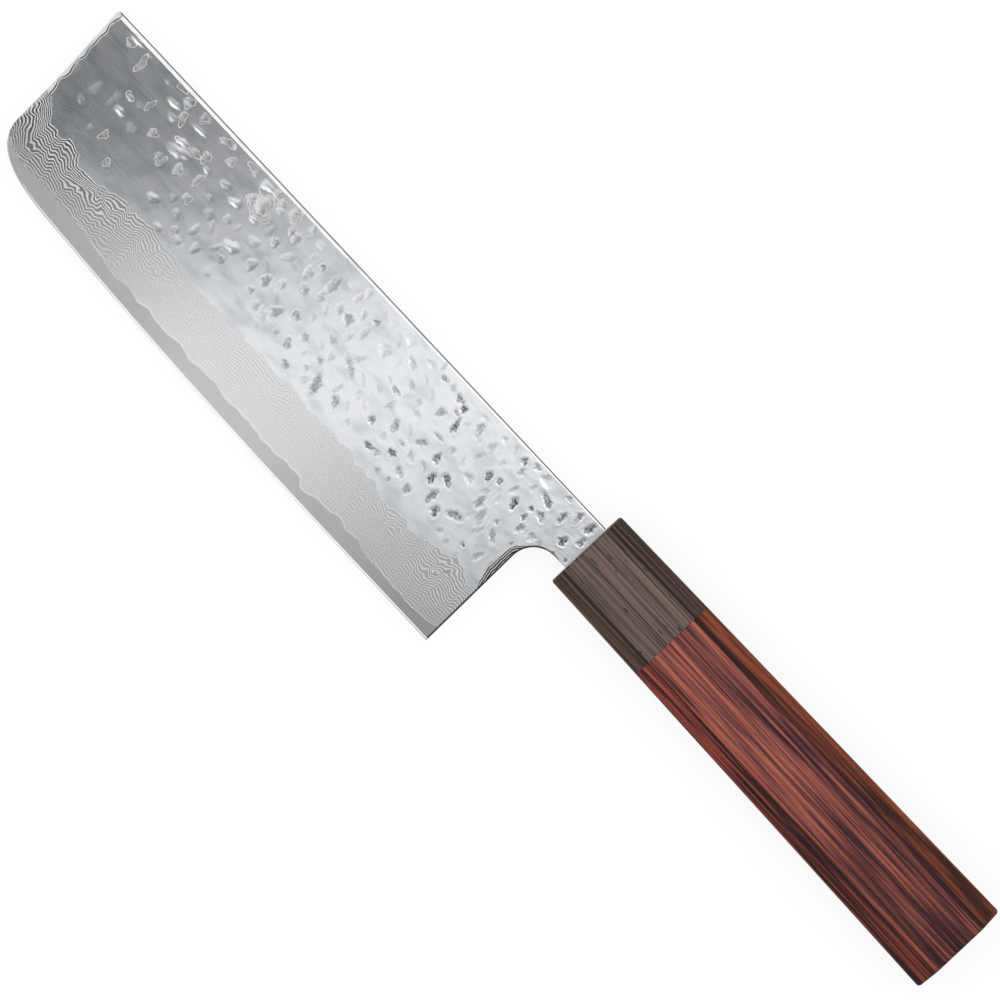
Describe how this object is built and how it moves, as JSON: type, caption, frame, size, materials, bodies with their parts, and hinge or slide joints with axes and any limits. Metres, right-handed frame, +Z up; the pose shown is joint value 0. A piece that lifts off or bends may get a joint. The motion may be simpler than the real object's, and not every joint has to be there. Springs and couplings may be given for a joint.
{
  "type": "nakiri knife",
  "caption": "Vegetable knife with a squared, laminated and hammered steel blade, and an octagonal two-wood handle on a hidden tang.",
  "frame": {"origin": "centre of the knife's footprint as it lies on its right side, level with the lowest point of the handle", "axes": "+X along the spine from tip to butt, +Y from the cutting edge to the spine, +Z up out of the left face of the blade"},
  "size_m": [0.3102, 0.0572, 0.0215],
  "materials": {
    "core_steel": "satin",
    "cladding": "satin, layered pattern, hammered",
    "dark_wood": "satin",
    "red_wood": "satin",
    "dowel_wood": "matte",
    "adhesive": "matte",
    "seal": "matte"
  },
  "bodies": {
    "root": {"core_steel": "core_steel", "left_cladding": "cladding", "right_cladding": "cladding", "ferrule": "dark_wood", "handle_body": "red_wood", "joining_dowel": "dowel_wood", "tang_bedding": "adhesive", "mouth_seal": "seal"}
  },
  "joints": []
}
